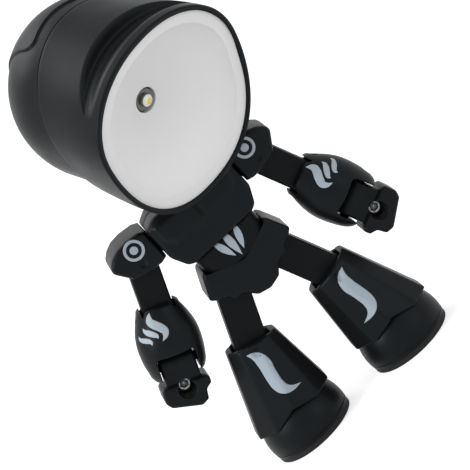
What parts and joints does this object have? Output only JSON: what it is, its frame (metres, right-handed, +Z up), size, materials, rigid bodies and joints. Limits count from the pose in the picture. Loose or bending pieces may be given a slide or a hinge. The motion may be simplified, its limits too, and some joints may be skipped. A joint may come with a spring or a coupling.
{
  "type": "robot shaped desk lamp",
  "caption": "Battery desk lamp shaped like a standing robot: a helmet head holds a white bowl and emitter; head, arms and legs are jointed.",
  "frame": {"origin": "on the floor under the middle of the lamp's box; the neck axis is 18.1 mm behind it", "axes": "+Z up, -Y the way the torso faces, +X to the robot's left"},
  "size_m": [0.104, 0.0776, 0.1672],
  "materials": {
    "black_shell": "satin moulded black",
    "black_joint": "satin",
    "white_bowl": "matte white",
    "steel": "bright",
    "board": "satin",
    "emitter": "yellow phosphor under clear resin",
    "cell": "satin sleeve",
    "sole": "matte"
  },
  "bodies": {
    "torso": {"chest_front": "black_shell", "chest_back": "black_shell", "chest_screw_left": "steel", "chest_screw_right": "steel", "belly": "black_joint", "pelvis": "black_shell", "waist_screw": "steel", "hip_pin_left": "steel", "hip_pin_right": "steel"},
    "neck": {"neck_post": "black_joint"},
    "head": {"head_front_shell": "black_shell", "head_rear_shell": "black_shell", "reflector": "white_bowl", "led_board": "board", "led_emitter": "emitter", "battery_holder": "black_joint", "battery_cell_1": "cell", "battery_cell_2": "cell", "battery_cell_3": "cell", "power_switch": "black_joint", "head_screw_left": "steel", "head_screw_right": "steel", "tilt_pin": "steel"},
    "door": {"battery_door": "black_shell", "battery_door_screw": "steel"},
    "button": {"power_button": "black_shell"},
    "pad_left": {"shoulder_pad_left": "black_shell", "shoulder_pin_left": "steel"},
    "arm_left": {"upper_arm_left": "black_joint"},
    "forearm_left": {"gauntlet_left": "black_shell", "elbow_pin_left": "steel", "wrist_pin_left": "steel"},
    "fist_left": {"hand_left": "black_shell"},
    "upper_leg_left": {"thigh_left": "black_joint"},
    "lower_leg_left": {"boot_left": "black_shell", "knee_pin_left": "steel"},
    "foot_left_body": {"foot_left": "black_shell", "sole_left": "sole", "ankle_pin_left": "steel"},
    "pad_right": {"shoulder_pad_right": "black_shell", "shoulder_pin_right": "steel"},
    "arm_right": {"upper_arm_right": "black_joint"},
    "forearm_right": {"gauntlet_right": "black_shell", "elbow_pin_right": "steel", "wrist_pin_right": "steel"},
    "fist_right": {"hand_right": "black_shell"},
    "upper_leg_right": {"thigh_right": "black_joint"},
    "lower_leg_right": {"boot_right": "black_shell", "knee_pin_right": "steel"},
    "foot_right_body": {"foot_right": "black_shell", "sole_right": "sole", "ankle_pin_right": "steel"}
  },
  "joints": [
    {"name": "neck_pan", "type": "hinge", "parent": "torso", "child": "neck", "pos_m": [0, 0.0181, 0.094], "axis": [0, 0, 1], "range_deg": [-58, 10]},
    {"name": "head_tilt", "type": "hinge", "parent": "neck", "child": "head", "pos_m": [0, 0.0181, 0.115], "axis": [0.9135, 0.4067, 0], "range_deg": [-40, 2]},
    {"name": "door_lift", "type": "slide", "parent": "head", "child": "door", "axis": [-0.1589, 0.357, 0.9205], "range_m": [0, 0.014]},
    {"name": "button_press", "type": "slide", "parent": "head", "child": "button", "axis": [0.3744, -0.8409, 0.3907], "range_m": [0, 0.0006], "stiffness_N_per_m": 2000},
    {"name": "shoulder_swing_left", "type": "hinge", "parent": "torso", "child": "pad_left", "pos_m": [0.0253, 0.0181, 0.085], "axis": [1, 0, 0], "range_deg": [-90, 40]},
    {"name": "arm_raise_left", "type": "hinge", "parent": "pad_left", "child": "arm_left", "pos_m": [0.0253, 0.0181, 0.085], "axis": [0, -1, 0], "range_deg": [-4, 25]},
    {"name": "elbow_left", "type": "hinge", "parent": "arm_left", "child": "forearm_left", "pos_m": [0.03268, 0.0181, 0.0676], "axis": [0.9205, 0, 0.3907], "range_deg": [-15, 15]},
    {"name": "wrist_left", "type": "hinge", "parent": "forearm_left", "child": "fist_left", "pos_m": [0.03991, 0.0181, 0.05057], "axis": [0.9205, 0, 0.3907], "range_deg": [-28, 28]},
    {"name": "hip_left", "type": "hinge", "parent": "torso", "child": "upper_leg_left", "pos_m": [0.0102, 0.0181, 0.056], "axis": [0, -1, 0], "range_deg": [-3, 10]},
    {"name": "knee_left", "type": "hinge", "parent": "upper_leg_left", "child": "lower_leg_left", "pos_m": [0.01841, 0.0181, 0.03667], "axis": [0, -1, 0], "range_deg": [-3, 7]},
    {"name": "ankle_left", "type": "hinge", "parent": "lower_leg_left", "child": "foot_left_body", "pos_m": [0.022, 0.0181, 0.0049], "axis": [0, -1, 0], "range_deg": [-10, 10]},
    {"name": "shoulder_swing_right", "type": "hinge", "parent": "torso", "child": "pad_right", "pos_m": [-0.0253, 0.0181, 0.085], "axis": [1, 0, 0], "range_deg": [-90, 40]},
    {"name": "arm_raise_right", "type": "hinge", "parent": "pad_right", "child": "arm_right", "pos_m": [-0.0253, 0.0181, 0.085], "axis": [0, 1, 0], "range_deg": [-4, 25]},
    {"name": "elbow_right", "type": "hinge", "parent": "arm_right", "child": "forearm_right", "pos_m": [-0.03268, 0.0181, 0.0676], "axis": [0.9205, 0, -0.3907], "range_deg": [-15, 15]},
    {"name": "wrist_right", "type": "hinge", "parent": "forearm_right", "child": "fist_right", "pos_m": [-0.03991, 0.0181, 0.05057], "axis": [0.9205, 0, -0.3907], "range_deg": [-28, 28]},
    {"name": "hip_right", "type": "hinge", "parent": "torso", "child": "upper_leg_right", "pos_m": [-0.0102, 0.0181, 0.056], "axis": [0, 1, 0], "range_deg": [-3, 10]},
    {"name": "knee_right", "type": "hinge", "parent": "upper_leg_right", "child": "lower_leg_right", "pos_m": [-0.01841, 0.0181, 0.03667], "axis": [0, 1, 0], "range_deg": [-3, 7]},
    {"name": "ankle_right", "type": "hinge", "parent": "lower_leg_right", "child": "foot_right_body", "pos_m": [-0.022, 0.0181, 0.0049], "axis": [0, 1, 0], "range_deg": [-10, 10]}
  ]
}
